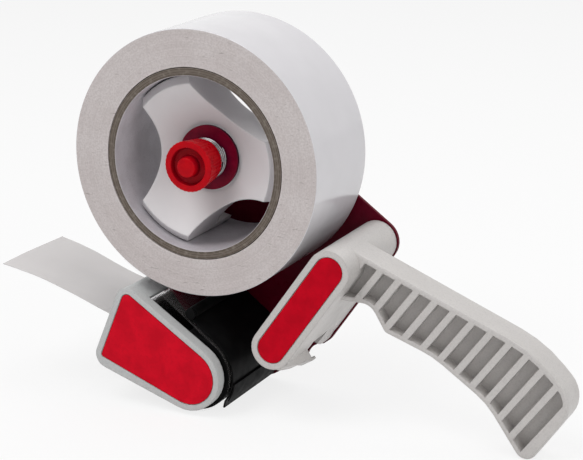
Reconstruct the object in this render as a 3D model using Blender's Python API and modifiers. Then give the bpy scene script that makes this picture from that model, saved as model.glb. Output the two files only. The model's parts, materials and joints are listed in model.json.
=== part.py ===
"""Packing tape dispenser for 50 mm tape on a 3 inch core, in metres, +Z up.

X runs from the free tape towards the handle, Y from the open side to the side plate.
The design frame has the reel axis at X = 0, Z = 0 and the tape's open edge at Y = 0.
The assembly empty then sets the object down with its box centred over the origin.
"""
import math

import bmesh
import bpy
from mathutils import Matrix, Vector

# Clearances and drawing values
FIT_GAP = 0.0003
OVERRUN = 0.002
WELD_DISTANCE = 0.000005
TOUCH_MERGE = 0.00002
ARC_STEP_DEG = 12.0
SMOOTH_DEG = 35.0
TURN_FACETS = 64
ROLL_FACETS = 96
BOSS_FACETS = 20
SCALLOP_FACETS = 128

# Tape roll on its core
TAPE_WIDTH = 0.050
ROLL_RADIUS = 0.058
CORE_BORE_RADIUS = 0.0381
CORE_WALL = 0.0034
FILM_THICKNESS = 0.0003

# Side plate: steel, painted, on the far side of the roll
PLATE_STANDOFF = 0.001
PLATE_THICKNESS = 0.0016
PLATE_HUB_END_RADIUS = 0.011
PLATE_SHOULDER_RADIUS = 0.0153
PLATE_SHOULDER_ACROSS = 0.045
PLATE_SHOULDER_DROP = 0.032
PLATE_RIM = 0.00065
PLATE_HEEL_RADIUS = 0.0066
PLATE_HEEL_BACK = 0.0005
PLATE_HEEL_DROP = 0.0067
PLATE_NOTCH_RADIUS = 0.009
PLATE_NOTCH_CLEAR = 0.0007
PLATE_NOTCH_DEG = -83.0
PLATE_SOLE_RADIUS = 0.016
PLATE_SOLE_FORWARD = 0.007
PLATE_SOLE_LIFT = 0.0007
PLATE_TOE_RADIUS = 0.008

# Applicator roller under the roll, its core and axle
ROLLER_RADIUS = 0.0169
ROLLER_BACKSET = 0.001
ROLLER_CLEAR_OF_ROLL = 0.0193
ROLLER_END_GAP = 0.0008
SLEEVE_WALL = 0.0049
ROLLER_CORE_RIM = 0.0022
ROLLER_CORE_DISH = 0.010
ROLLER_HUB_WALL = 0.0024
AXLE_RADIUS = 0.0025
AXLE_SOCKET_DEPTH = 0.0032
THRUST_WASHER_WIDTH = 0.0022

# Nose guard: the wedge cheek in front of the roller and the wall above the tape slot
CHEEK_GAP = 0.0006
CHEEK_THICKNESS = 0.0054
CHEEK_ROLLER_END_RADIUS = 0.0153
CHEEK_TOE_RADIUS = 0.0062
CHEEK_TOE_REACH = 0.040
CHEEK_TOE_LIFT = 0.0041
CHEEK_TOP_RADIUS = 0.0058
CHEEK_TOP_REACH = 0.0295
CHEEK_TOP_LIFT = 0.0307
LABEL_RECESS = 0.0008
LABEL_THICKNESS = 0.0004
CHEEK_RIM = 0.0026
CHEEK_LABEL_TOE_RADIUS = 0.0014
CHEEK_LABEL_TOE_REACH = 0.0022
FRONT_WALL = 0.0020
FRONT_WALL_LENGTH = 0.0095
FRONT_WALL_BEND_DEG = 101.0
TOP_WALL_LENGTH = 0.006

# Grip housing: a stadium shaped box with the handle moulded on its back
GRIP_ANGLE_DEG = 55.0
GRIP_CLEAR_OF_ROLL = 0.0072
GRIP_CAP_RADIUS = 0.00925
GRIP_TOP_REACH = 0.0047
GRIP_LENGTH = 0.0464
GRIP_FRONT = 0.001
GRIP_WALL = 0.0022
GRIP_FACE_WALL = 0.0034
GRIP_RIM = 0.0027
GRIP_BOSS_RADIUS = 0.0034
SCOOP_NEAR = 0.021
SCOOP_FAR = 0.0334
SCOOP_LIFT = 0.0038
SCOOP_TOP_LIFT = 0.0055
SCOOP_FAR_DROP = 0.0030
SCOOP_HEEL_DROP = 0.0114
LUG_TURN_DEG = 24.0
LUG_HALF_WIDTH = 0.0030
LUG_ROOT = 0.0010
LUG_LIP = 0.0030
LUG_LIP_THICKNESS = 0.0012
# Lug's outer edge: depth as share of the scoop's near side, height over the cap as share of its radius
LUG_EDGE_SHARES = ((0.02, 0.0), (0.10, 0.11), (0.48, 0.31), (0.80, 0.39), (0.95, 0.52))

# Handle with its row of open pockets
HANDLE_REACH = 0.100
HANDLE_NEAR = 0.0105
HANDLE_WIDTH = 0.016
HANDLE_RIM = 0.0024
HANDLE_EDGE_ROUND = 0.0014
POCKET_COUNT = 12
POCKET_PITCH = 0.00855
POCKET_WIDTH = 0.0056
POCKET_DEPTH = 0.0060
POCKET_START = 0.0080
POCKET_ANGLE_DEG = 53.3
# Corners anticlockwise from the housing: share of reach, share of drop, radius as share of reach
HANDLE_CORNER_SHARES = (
    (-0.036, -0.218, 0.0),
    (0.140, -0.218, 0.070),
    (0.207, -0.372, 0.030),
    (0.424, -0.477, 0.400),
    (0.664, -0.702, 0.300),
    (0.842, -1.0511, 0.050),
    (1.0575, -0.628, 0.130),
    (0.869, -0.353, 0.550),
    (0.029, 0.115, 0.0),
)

# Reel hub: three lobes, a dished front, a centre tube
HUB_RADIUS = 0.0374
HUB_FRONT = 0.0045
HUB_BACK_INSET = 0.0035
HUB_LIP_RADIUS = 0.0340
HUB_LIP_DEPTH = 0.0030
HUB_SEAT_RADIUS = 0.0146
HUB_SEAT_DEPTH = 0.0114
HUB_WALL = 0.0022
HUB_TUBE_WALL = 0.0028
HUB_WEB_DEPTH = 0.0262
LOBE_COUNT = 3
LOBE_TURN_DEG = 58.5
SCALLOP_DISTANCE = 0.0654
SCALLOP_RADIUS = 0.0436

# Stud, brake spring and knob
STUD_SPIGOT_RADIUS = 0.0040
STUD_FLANGE_RADIUS = 0.010
STUD_RADIUS = 0.0050
STUD_THREAD_RADIUS = 0.0037
STUD_TIP = 0.0015
HUB_REAR_WASHER = 0.0010
HUB_REAR_WASHER_RADIUS = 0.009
BRAKE_WASHER_RADIUS = 0.0142
BRAKE_WASHER_THICKNESS = 0.0016
SPRING_OUTER_RADIUS = 0.0093
SPRING_WIRE = 0.0010
SPRING_LENGTH = 0.0041
SPRING_TURNS = 2.1
SPRING_POINTS_PER_TURN = 10
SEAT_WASHER_THICKNESS = 0.0006
KNOB_LENGTH = 0.0129
KNOB_BACK_RADIUS = 0.0096
KNOB_FRONT_RADIUS = 0.0112
KNOB_BOSS_RADIUS = 0.0042
KNOB_BOSS_PROUD = 0.0020
KNOB_RECESS = 0.0025
KNOB_RECESS_RADIUS = 0.0082
KNOB_EDGE = 0.0006
KNOB_BORE_PAST_TIP = 0.0013
KNURL_COUNT = 36
KNURL_DEPTH = 0.0004

# Tape flap over the roller, hinged behind it, with its serrated wiper
FLAP_SHEET = 0.0008
FLAP_CLEAR_OF_FILM = 0.0005
FLAP_SHEET_RUN = 0.0175
FLAP_LOW_DEG = -38.0
FLAP_LIP_LENGTH = 0.0030
FLAP_LIP_TURN_DEG = 25.0
FLAP_EYE_WRAP_DEG = 265.0
FLAP_PIN_RADIUS = 0.0015
FLAP_PIN_HEAD_RADIUS = 0.0024
FLAP_PIN_HEAD = 0.0010
WIPER_SHEET = 0.0006
WIPER_FROM_DEG = -8.0
WIPER_TO_DEG = -34.0

# Cutting blade on its holder below the tape slot
SLOT_REACH = 0.0395
SLOT_LIFT = 0.0199
HOLDER_CLEAR_OF_FILM = 0.0012
HOLDER_FACE_ANGLE_DEG = 71.6
HOLDER_FACE_LENGTH = 0.0142
HOLDER_HEEL_LENGTH = 0.0064
HOLDER_HEEL_ANGLE_DEG = -54.0
HOLDER_LIP_BACK = 0.0020
HOLDER_FILM_SIDE = 0.031
HOLDER_SCREW_IN = 0.0029
HOLDER_SCREW_UP = 0.0039
HOLDER_SCREW_LINE_DEG = -19.5
HOLDER_SCREW_SPREAD = 0.0090
BLADE_SHEET = 0.0007
BLADE_HEIGHT = 0.0130
BLADE_PROUD = 0.0012
BLADE_TOOTH_COUNT = 24
BLADE_TOOTH_HEIGHT = 0.0014
BLADE_SCREW_SHARES = (0.25, 0.75)
BLADE_SCREW_LENGTH = 0.0040
BLADE_SCREW_HEAD = 0.0009
BLADE_SCREW_RISE = 0.0055

# Free strip of tape beyond the slot: shares of its reach and of its rise
STRIP_REACH = 0.0585
STRIP_RISE = 0.0171
STRIP_SHARES = (
    (0.06, 0.09), (0.17, 0.21), (0.31, 0.37), (0.48, 0.56), (0.66, 0.76), (0.84, 0.91), (1.0, 1.0),
)

# Countersunk screws through the side plate
SCREW_RADIUS = 0.0015
SCREW_HEAD_RADIUS = 0.0029
SCREW_LENGTH = 0.0125
SCREW_BORE_LENGTH = 0.014
SCREW_SOCKET_RADIUS = 0.0010
SCREW_SOCKET_DEPTH = 0.0011
GRIP_SCREW_SHARES = (0.0, 0.5, 1.0)

# Places worked out from the sizes
PLATE_NEAR = TAPE_WIDTH + PLATE_STANDOFF
PLATE_FAR = PLATE_NEAR + PLATE_THICKNESS
FAR_END = PLATE_NEAR - FIT_GAP
FILM_OFFSET = FIT_GAP + FILM_THICKNESS / 2
ROLLER_CENTRE = Vector((-ROLLER_BACKSET, -(ROLL_RADIUS + ROLLER_CLEAR_OF_ROLL + ROLLER_RADIUS)))
ROLLER_FILM_RADIUS = ROLLER_RADIUS + FILM_OFFSET
ROLL_FILM_RADIUS = ROLL_RADIUS + FILM_OFFSET
FLOOR = ROLLER_CENTRE.y - ROLLER_FILM_RADIUS - FILM_THICKNESS / 2
GRIP_ANGLE = math.radians(GRIP_ANGLE_DEG)
GRIP_ALONG = Vector((math.cos(GRIP_ANGLE), math.sin(GRIP_ANGLE)))
GRIP_ACROSS = Vector((math.sin(GRIP_ANGLE), -math.cos(GRIP_ANGLE)))
GRIP_UPPER = GRIP_ACROSS * (ROLL_RADIUS + GRIP_CLEAR_OF_ROLL + GRIP_CAP_RADIUS) + GRIP_ALONG * GRIP_TOP_REACH
GRIP_LOWER = GRIP_UPPER - GRIP_ALONG * GRIP_LENGTH
PLATE_HEEL = GRIP_LOWER - Vector((PLATE_HEEL_BACK, PLATE_HEEL_DROP))
HANDLE_DROP = GRIP_UPPER.y - FLOOR
CHEEK_NEAR = -CHEEK_GAP - CHEEK_THICKNESS
CHEEK_FAR = -CHEEK_GAP
CHEEK_TOE = ROLLER_CENTRE + Vector((-CHEEK_TOE_REACH, CHEEK_TOE_LIFT))
CHEEK_TOP = ROLLER_CENTRE + Vector((-CHEEK_TOP_REACH, CHEEK_TOP_LIFT))
NOSE_BOSS_RADIUS = CHEEK_TOP_RADIUS - FRONT_WALL
SLOT = ROLLER_CENTRE + Vector((-SLOT_REACH, SLOT_LIFT))
CORE_RADIUS = CORE_BORE_RADIUS + CORE_WALL
HUB_SEAT = HUB_FRONT + HUB_SEAT_DEPTH
HUB_FAR = TAPE_WIDTH - HUB_BACK_INSET
BRAKE_WASHER_FRONT = HUB_SEAT - FIT_GAP - BRAKE_WASHER_THICKNESS
SPRING_FAR = BRAKE_WASHER_FRONT - FIT_GAP
SPRING_NEAR = SPRING_FAR - SPRING_LENGTH
KNOB_BACK = SPRING_NEAR - FIT_GAP - SEAT_WASHER_THICKNESS - FIT_GAP
KNOB_FRONT = KNOB_BACK - KNOB_LENGTH


def unit(angle_deg):
    """Direction in the X, Z plane, anticlockwise from +X."""
    angle = math.radians(angle_deg)
    return Vector((math.cos(angle), math.sin(angle)))


def angle_of(direction):
    return math.atan2(direction.y, direction.x)


def crossed_tangent():
    """Normal of the tape's line between roll and roller, which it passes on opposite sides."""
    towards_roll = -ROLLER_CENTRE
    lean = math.acos((ROLL_FILM_RADIUS + ROLLER_FILM_RADIUS) / towards_roll.length)
    angle = angle_of(towards_roll) - lean
    return Vector((math.cos(angle), math.sin(angle)))


def slot_tangent_angle():
    """Angle on the roller at which the tape leaves it for the slot."""
    towards_slot = SLOT - ROLLER_CENTRE
    return angle_of(towards_slot) + math.acos(ROLLER_FILM_RADIUS / towards_slot.length)


TAPE_NORMAL = crossed_tangent()
TAPE_BACKWARD = Vector((-TAPE_NORMAL.y, TAPE_NORMAL.x))
TAPE_ON_ROLLER = angle_of(TAPE_NORMAL)
TAPE_OFF_ROLLER = slot_tangent_angle() - math.tau
FLAP_MID_RADIUS = ROLLER_FILM_RADIUS + FILM_THICKNESS / 2 + FLAP_CLEAR_OF_FILM + FLAP_SHEET / 2
FLAP_EYE_RADIUS = FLAP_PIN_RADIUS + FIT_GAP + FLAP_SHEET / 2
FLAP_HINGE = (ROLLER_CENTRE + TAPE_NORMAL * (FLAP_MID_RADIUS + FLAP_EYE_RADIUS)
              + TAPE_BACKWARD * FLAP_SHEET_RUN)
FRONT_WALL_ALONG = unit(math.degrees(angle_of(CHEEK_TOE - CHEEK_TOP)))
FRONT_WALL_OUT = Vector((FRONT_WALL_ALONG.y, -FRONT_WALL_ALONG.x))


def arc_points(centre, radius, start, turn):
    """Points along an arc, both ends included; angles in radians."""
    count = max(2, math.ceil(abs(turn) / math.radians(ARC_STEP_DEG)) + 1)
    points = []
    for index in range(count):
        angle = start + turn * index / (count - 1)
        points.append((centre[0] + radius * math.cos(angle), centre[1] + radius * math.sin(angle)))
    return points


def circle_outline(centre, radius, facets=BOSS_FACETS):
    """A closed ring of points."""
    angles = [math.tau * index / facets for index in range(facets)]
    return [(centre[0] + radius * math.cos(angle), centre[1] + radius * math.sin(angle)) for angle in angles]


def belt_outline(circles):
    """Outline of a taut belt round circles (centre, radius) listed anticlockwise."""
    normals = []
    for index, (centre, radius) in enumerate(circles):
        next_centre, next_radius = circles[(index + 1) % len(circles)]
        step = Vector(next_centre) - Vector(centre)
        lean = (radius - next_radius) / step.length
        along = step.normalized()
        across = Vector((along.y, -along.x))
        normals.append(along * lean + across * math.sqrt(1 - lean * lean))
    outline = []
    for index, (centre, radius) in enumerate(circles):
        start = angle_of(normals[index - 1])
        turn = (angle_of(normals[index]) - start) % math.tau
        outline += arc_points(centre, radius, start, turn)
    return outline


def rounded_outline(corners):
    """Outline through corners (x, z, fillet radius), convex or concave."""
    outline = []
    for index, (x, z, radius) in enumerate(corners):
        corner = Vector((x, z))
        if radius <= 0:
            outline.append((x, z))
            continue
        back = (Vector(corners[index - 1][:2]) - corner).normalized()
        ahead = (Vector(corners[(index + 1) % len(corners)][:2]) - corner).normalized()
        half = back.angle(ahead) / 2
        centre = corner + (back + ahead).normalized() * (radius / math.sin(half))
        reach = radius / math.tan(half)
        start = angle_of(corner + back * reach - centre)
        end = angle_of(corner + ahead * reach - centre)
        outline += arc_points(centre, radius, start, math.remainder(end - start, math.tau))
    return outline


def inset_corners(corners, distance):
    """The same anticlockwise corners moved inwards, with their fillets to match."""
    moved = []
    for index, (x, z, radius) in enumerate(corners):
        corner = Vector((x, z))
        arriving = (corner - Vector(corners[index - 1][:2])).normalized()
        leaving = (Vector(corners[(index + 1) % len(corners)][:2]) - corner).normalized()
        inward_before = Vector((-arriving.y, arriving.x))
        inward_after = Vector((-leaving.y, leaving.x))
        shift = (inward_before + inward_after) * (distance / (1 + inward_before.dot(inward_after)))
        convex = arriving.x * leaving.y - arriving.y * leaving.x > 0
        inner = max(radius - distance, 0) if convex else radius + distance
        moved.append((x + shift.x, z + shift.y, inner))
    return moved


def ribbon_outline(path, thickness):
    """Closed outline of a sheet of even thickness along an open path."""
    left = []
    right = []
    for index, point in enumerate(path):
        before = Vector(path[max(index - 1, 0)])
        after = Vector(path[min(index + 1, len(path) - 1)])
        here = Vector(point)
        arriving = (here - before).normalized() if index else (after - here).normalized()
        leaving = (after - here).normalized() if index < len(path) - 1 else arriving
        normal_before = Vector((-arriving.y, arriving.x))
        normal_after = Vector((-leaving.y, leaving.x))
        mitre = (normal_before + normal_after) / (1 + normal_before.dot(normal_after))
        left.append(tuple(here + mitre * (thickness / 2)))
        right.append(tuple(here - mitre * (thickness / 2)))
    return left + right[::-1]


def design_frame(near, far):
    """Takes an outline's X, Y to the world's X, Z, centred between two depths."""
    return Matrix.Translation((0, (near + far) / 2, 0)) @ Matrix.Rotation(math.pi / 2, 4, "X")


def mesh_from(holder, matrix):
    """Evaluates a construction object, welds its seams and gives it back as a mesh object."""
    bpy.context.scene.collection.objects.link(holder)
    graph = bpy.context.evaluated_depsgraph_get()
    mesh = bpy.data.meshes.new_from_object(holder.evaluated_get(graph))
    name = holder.name
    bpy.data.objects.remove(holder)
    mesh.transform(matrix)
    cleaner = bmesh.new()
    cleaner.from_mesh(mesh)
    bmesh.ops.remove_doubles(cleaner, verts=cleaner.verts, dist=WELD_DISTANCE)
    bmesh.ops.recalc_face_normals(cleaner, faces=cleaner.faces)
    cleaner.to_mesh(mesh)
    cleaner.free()
    piece = bpy.data.objects.new(name, mesh)
    PARTS.objects.link(piece)
    return piece


def prism(name, outlines, near, far, matrix=None, edge_round=0):
    """Flat outlines, pushed from one depth to another, with their rims rounded if asked."""
    curve = bpy.data.curves.new(name, "CURVE")
    curve.dimensions = "2D"
    curve.fill_mode = "BOTH"
    curve.extrude = (far - near) / 2 - edge_round
    curve.offset = -edge_round
    curve.bevel_depth = edge_round
    curve.bevel_resolution = 1
    for outline in outlines:
        spline = curve.splines.new("POLY")
        spline.points.add(len(outline) - 1)
        for point, (x, y) in zip(spline.points, outline):
            point.co = (x, y, 0, 1)
        spline.use_cyclic_u = True
    holder = bpy.data.objects.new(name, curve)
    return mesh_from(holder, matrix or design_frame(near, far))


def turned(name, profile, centre=(0, 0), facets=TURN_FACETS, matrix=None):
    """Turns (radius, depth) points round an axis along +Y.

    The profile runs down the outer side, from the far end to the near end, and ends either
    on the axis at both ends or, as a ring, where it began.
    """
    mesh = bpy.data.meshes.new(name)
    points = [(radius, 0, depth) for radius, depth in profile]
    edges = [(index, index + 1) for index in range(len(points) - 1)]
    if profile[0][0] > 0:
        edges.append((len(points) - 1, 0))
    mesh.from_pydata(points, edges, [])
    holder = bpy.data.objects.new(name, mesh)
    screw = holder.modifiers.new("turn", "SCREW")
    screw.axis = "Z"
    screw.steps = facets
    screw.render_steps = facets
    screw.use_merge_vertices = True
    screw.merge_threshold = TOUCH_MERGE
    screw.use_smooth_shade = True
    upright = Matrix.Translation((centre[0], 0, centre[1])) @ Matrix.Rotation(-math.pi / 2, 4, "X")
    piece = mesh_from(holder, matrix or upright)
    piece.data.shade_smooth()
    piece.data.set_sharp_from_angle(angle=math.radians(SMOOTH_DEG))
    return piece


def ring_profile(inner, outer, near, far):
    """A plain ring: outer side first, then back up the bore."""
    return [(outer, far), (outer, near), (inner, near), (inner, far)]


def rod_profile(*steps):
    """A stepped rod from (radius, near depth, far depth) steps, listed from the far end."""
    profile = [(0, steps[0][2])]
    for radius, near, far in steps:
        profile += [(radius, far), (radius, near)]
    profile.append((0, steps[-1][1]))
    return profile


def combine(piece, tool, operation="DIFFERENCE"):
    """Cuts, joins or intersects a piece with a tool, which stays as a wire guide."""
    modifier = piece.modifiers.new(tool.name, "BOOLEAN")
    modifier.operation = operation
    modifier.solver = "EXACT"
    modifier.object = tool
    weld = piece.modifiers.new("weld", "WELD")
    weld.merge_threshold = TOUCH_MERGE
    PARTS.objects.unlink(tool)
    CUTTERS.objects.link(tool)
    tool.hide_render = True
    tool.display_type = "WIRE"


def tools_of(piece):
    for modifier in piece.modifiers:
        if modifier.type == "BOOLEAN":
            yield modifier.object
            yield from tools_of(modifier.object)


def material(name, color, roughness, metallic=0.0):
    paint = bpy.data.materials.new(name)
    paint.use_nodes = True
    shader = paint.node_tree.nodes["Principled BSDF"]
    shader.inputs["Base Color"].default_value = (*color, 1)
    shader.inputs["Roughness"].default_value = roughness
    shader.inputs["Metallic"].default_value = metallic
    return paint


def empty(name, x, z, parent=None):
    """An empty on a joint's axis, which the pieces of one body hang from."""
    holder = bpy.data.objects.new(name, None)
    PARTS.objects.link(holder)
    holder.location = (x, 0, z)
    holder.parent = parent
    return holder


def place(piece, body, finish):
    """Hangs a piece, and the tools that shape it, from its body's empty."""
    body_place = body.location.copy()
    for item in (piece, *tools_of(piece)):
        item.data.transform(Matrix.Translation(-body_place))
        item.parent = body
    piece.data.materials.clear()
    piece.data.materials.append(finish)


for leftover in list(bpy.data.objects):
    bpy.data.objects.remove(leftover)
PARTS = bpy.data.collections.new("packing_tape_dispenser")
CUTTERS = bpy.data.collections.new("cutters")
bpy.context.scene.collection.children.link(PARTS)
bpy.context.scene.collection.children.link(CUTTERS)

GREY = material("grey_plastic", (0.62, 0.62, 0.63), 0.45)
RED_LABEL = material("red_label", (0.55, 0.015, 0.035), 0.35)
RED_KNOB = material("red_knob", (0.60, 0.004, 0.012), 0.30)
DARK_RED = material("dark_red_plastic", (0.22, 0.004, 0.025), 0.40)
MAROON = material("maroon_paint", (0.070, 0.003, 0.010), 0.35)
STEEL = material("steel", (0.60, 0.60, 0.60), 0.25, 1.0)
BLACK_STEEL = material("black_steel", (0.012, 0.012, 0.013), 0.40)
RUBBER = material("black_rubber", (0.010, 0.010, 0.011), 0.55)
NYLON = material("nylon", (0.72, 0.71, 0.68), 0.50)
CARDBOARD = material("cardboard", (0.27, 0.23, 0.20), 0.85)
TAPE = material("tape", (0.66, 0.64, 0.63), 0.25)

ROOT = empty("dispenser", 0, 0)
REEL = empty("reel_axis", 0, 0, ROOT)
ROLLER = empty("roller_axis", *ROLLER_CENTRE, ROOT)
FLAP = empty("flap_axis", *FLAP_HINGE, ROOT)
CARRIER = empty("brake_carrier_axis", 0, 0, ROOT)
KNOB = empty("knob_axis", 0, 0, CARRIER)


def joined(name, pieces):
    """Gathers separate cutters into one."""
    mesh = bpy.data.meshes.new(name)
    gathered = bmesh.new()
    for piece in pieces:
        gathered.from_mesh(piece.data)
        bpy.data.objects.remove(piece)
    gathered.to_mesh(mesh)
    gathered.free()
    group = bpy.data.objects.new(name, mesh)
    PARTS.objects.link(group)
    return group


def plate_screw(name, centre):
    """A countersunk screw whose head lies flush in the plate's far face."""
    cone = SCREW_HEAD_RADIUS - SCREW_RADIUS
    profile = [
        (0, PLATE_FAR - SCREW_SOCKET_DEPTH),
        (SCREW_SOCKET_RADIUS, PLATE_FAR - SCREW_SOCKET_DEPTH),
        (SCREW_SOCKET_RADIUS, PLATE_FAR),
        (SCREW_HEAD_RADIUS, PLATE_FAR),
        (SCREW_RADIUS, PLATE_FAR - cone),
        (SCREW_RADIUS, PLATE_FAR - SCREW_LENGTH),
        (0, PLATE_FAR - SCREW_LENGTH),
    ]
    return turned(name, profile, centre, BOSS_FACETS)


def plate_screw_seat(centre):
    """The countersunk hole that such a screw passes through."""
    cone = SCREW_HEAD_RADIUS - SCREW_RADIUS
    profile = [
        (0, PLATE_FAR + OVERRUN),
        (SCREW_HEAD_RADIUS + FIT_GAP, PLATE_FAR + OVERRUN),
        (SCREW_HEAD_RADIUS + FIT_GAP, PLATE_FAR),
        (SCREW_RADIUS + FIT_GAP, PLATE_FAR - cone),
        (SCREW_RADIUS + FIT_GAP, PLATE_NEAR - OVERRUN),
        (0, PLATE_NEAR - OVERRUN),
    ]
    return turned("screw_seat", profile, centre, BOSS_FACETS)


def drilled(name, centre, radius, near, far):
    """A round cutter or boss along Y."""
    return turned(name, rod_profile((radius, near, far)), centre, BOSS_FACETS)


def screw_bores(name, centres):
    """Blind bores for plate screws in the bosses behind the plate."""
    radius = SCREW_RADIUS + FIT_GAP
    near = FAR_END - SCREW_BORE_LENGTH
    return joined(name, [drilled(name, centre, radius, near, FAR_END + OVERRUN) for centre in centres])


# Blade holder corners, from the lip below the slot round the heel to the film side
FILM_LEAVES = ROLLER_CENTRE + unit(math.degrees(TAPE_OFF_ROLLER)) * ROLLER_FILM_RADIUS
FILM_UP = (SLOT - FILM_LEAVES).normalized()
FILM_OUT = Vector((-FILM_UP.y, FILM_UP.x))
HOLDER_FACE = unit(HOLDER_FACE_ANGLE_DEG)
HOLDER_OUT = Vector((-HOLDER_FACE.y, HOLDER_FACE.x))
HOLDER_LIP = SLOT + FILM_OUT * (FILM_THICKNESS / 2 + HOLDER_CLEAR_OF_FILM) - FILM_UP * HOLDER_LIP_BACK
HOLDER_HEEL = HOLDER_LIP - HOLDER_FACE * HOLDER_FACE_LENGTH
HOLDER_TOE = HOLDER_HEEL + unit(HOLDER_HEEL_ANGLE_DEG) * HOLDER_HEEL_LENGTH
HOLDER_TAIL = HOLDER_LIP - FILM_UP * HOLDER_FILM_SIDE
HOLDER_SCREW_FIRST = HOLDER_TOE + Vector((HOLDER_SCREW_IN, HOLDER_SCREW_UP))
HOLDER_SCREW_SECOND = HOLDER_SCREW_FIRST + unit(HOLDER_SCREW_LINE_DEG) * HOLDER_SCREW_SPREAD
HOLDER_SCREWS = (HOLDER_SCREW_FIRST, HOLDER_SCREW_SECOND)
GRIP_SCREWS = tuple(GRIP_UPPER - GRIP_ALONG * (GRIP_LENGTH * share) for share in GRIP_SCREW_SHARES)


def side_plate():
    circles = [
        ((0, 0), PLATE_HUB_END_RADIUS),
        (CHEEK_TOE, PLATE_TOE_RADIUS),
        (ROLLER_CENTRE + Vector((PLATE_SOLE_FORWARD, -PLATE_SOLE_LIFT)), PLATE_SOLE_RADIUS),
        (PLATE_HEEL, PLATE_HEEL_RADIUS),
        (GRIP_UPPER, GRIP_CAP_RADIUS + PLATE_RIM),
        ((PLATE_SHOULDER_ACROSS, -PLATE_SHOULDER_DROP), PLATE_SHOULDER_RADIUS),
    ]
    plate = prism("side_plate", [belt_outline(circles)], PLATE_NEAR, PLATE_FAR)
    near = PLATE_NEAR - OVERRUN
    far = PLATE_FAR + OVERRUN
    round_holes = (
        ((0, 0), STUD_SPIGOT_RADIUS),
        (ROLLER_CENTRE, AXLE_RADIUS),
        (FLAP_HINGE, FLAP_PIN_RADIUS),
    )
    notch_distance = PLATE_HEEL_RADIUS + PLATE_NOTCH_RADIUS + PLATE_NOTCH_CLEAR
    notch_centre = PLATE_HEEL + unit(PLATE_NOTCH_DEG) * notch_distance
    notch = circle_outline(notch_centre, PLATE_NOTCH_RADIUS, TURN_FACETS)
    combine(plate, prism("heel_notch", [notch], near, far))
    holes = [drilled("plate_hole", centre, radius + FIT_GAP, near, far) for centre, radius in round_holes]
    holes += [plate_screw_seat(centre) for centre in (*GRIP_SCREWS, *HOLDER_SCREWS, CHEEK_TOP)]
    combine(plate, joined("plate_holes", holes))
    place(plate, ROOT, MAROON)


def grip_stadium(radius):
    return belt_outline([(GRIP_UPPER, radius), (GRIP_LOWER, radius)])


def handle_corners():
    return [
        (GRIP_UPPER.x + HANDLE_REACH * x_share, GRIP_UPPER.y + HANDLE_DROP * z_share, HANDLE_REACH * r_share)
        for x_share, z_share, r_share in HANDLE_CORNER_SHARES
    ]


def handle_pockets(near, far):
    """One side's pockets between two depths: slanted bars, kept inside the handle's rim."""
    along = unit(POCKET_ANGLE_DEG)
    across = Vector((along.y, -along.x))
    first = GRIP_UPPER + across * POCKET_START
    half_length = HANDLE_REACH + HANDLE_DROP
    bars = []
    for index in range(POCKET_COUNT):
        left = first + across * (POCKET_PITCH * index)
        right = left + across * POCKET_WIDTH
        bars.append([left - along * half_length, right - along * half_length,
                     right + along * half_length, left + along * half_length])
    inside_rim = rounded_outline(inset_corners(handle_corners(), HANDLE_RIM))
    pockets = prism("handle_pockets", [inside_rim], near, far)
    combine(pockets, prism("pocket_bars", bars, near - OVERRUN, far + OVERRUN), "INTERSECT")
    return pockets


def grip_heel():
    """The housing's far end, which widens to follow the plate's heel."""
    outline = belt_outline([
        (GRIP_LOWER, GRIP_CAP_RADIUS - FIT_GAP),
        (PLATE_HEEL, PLATE_HEEL_RADIUS - PLATE_RIM),
    ])
    return prism("grip_heel", [outline], (SCOOP_NEAR + SCOOP_FAR) / 2, FAR_END - FIT_GAP)


def on_grip_end(along, outward):
    """Stands an outline, drawn in depth and along one direction, on the grip's lower axis."""
    return Matrix((
        (0, along.x, outward.x, GRIP_LOWER.x),
        (1, 0, 0, 0),
        (0, along.y, outward.y, GRIP_LOWER.y),
        (0, 0, 0, 1),
    ))


def grip_scoop():
    """Cutter for the slot and the open lower end of the housing, drawn in depth and along the grip."""
    below = -(PLATE_HEEL_DROP + PLATE_HEEL_RADIUS + OVERRUN)
    end = FAR_END + OVERRUN
    outline = [
        (SCOOP_NEAR, below),
        (end, below),
        (end, -SCOOP_HEEL_DROP),
        (SCOOP_FAR, -SCOOP_FAR_DROP),
        (SCOOP_FAR, SCOOP_TOP_LIFT),
        (SCOOP_NEAR, SCOOP_LIFT),
    ]
    return prism("grip_scoop", [outline], below, -below, on_grip_end(GRIP_ALONG, GRIP_ACROSS))


def grip_lug():
    """The tapered lug on the lower cap, with a lip that reaches under the slot."""
    turn = math.radians(LUG_TURN_DEG)
    outward = GRIP_ACROSS * math.cos(turn) - GRIP_ALONG * math.sin(turn)
    sideways = GRIP_ALONG * math.cos(turn) + GRIP_ACROSS * math.sin(turn)
    root = GRIP_CAP_RADIUS - LUG_ROOT
    outline = [(SCOOP_NEAR * depth, GRIP_CAP_RADIUS * (1 + rise)) for depth, rise in LUG_EDGE_SHARES]
    lip = outline[-1][1]
    end = SCOOP_NEAR - FIT_GAP
    outline += [
        (end + LUG_LIP, lip),
        (end + LUG_LIP, lip - LUG_LIP_THICKNESS),
        (end, lip - LUG_LIP_THICKNESS),
        (end, root),
        (outline[0][0], root),
    ]
    return prism("grip_lug", [outline], -LUG_HALF_WIDTH, LUG_HALF_WIDTH, on_grip_end(outward, sideways))


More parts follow.
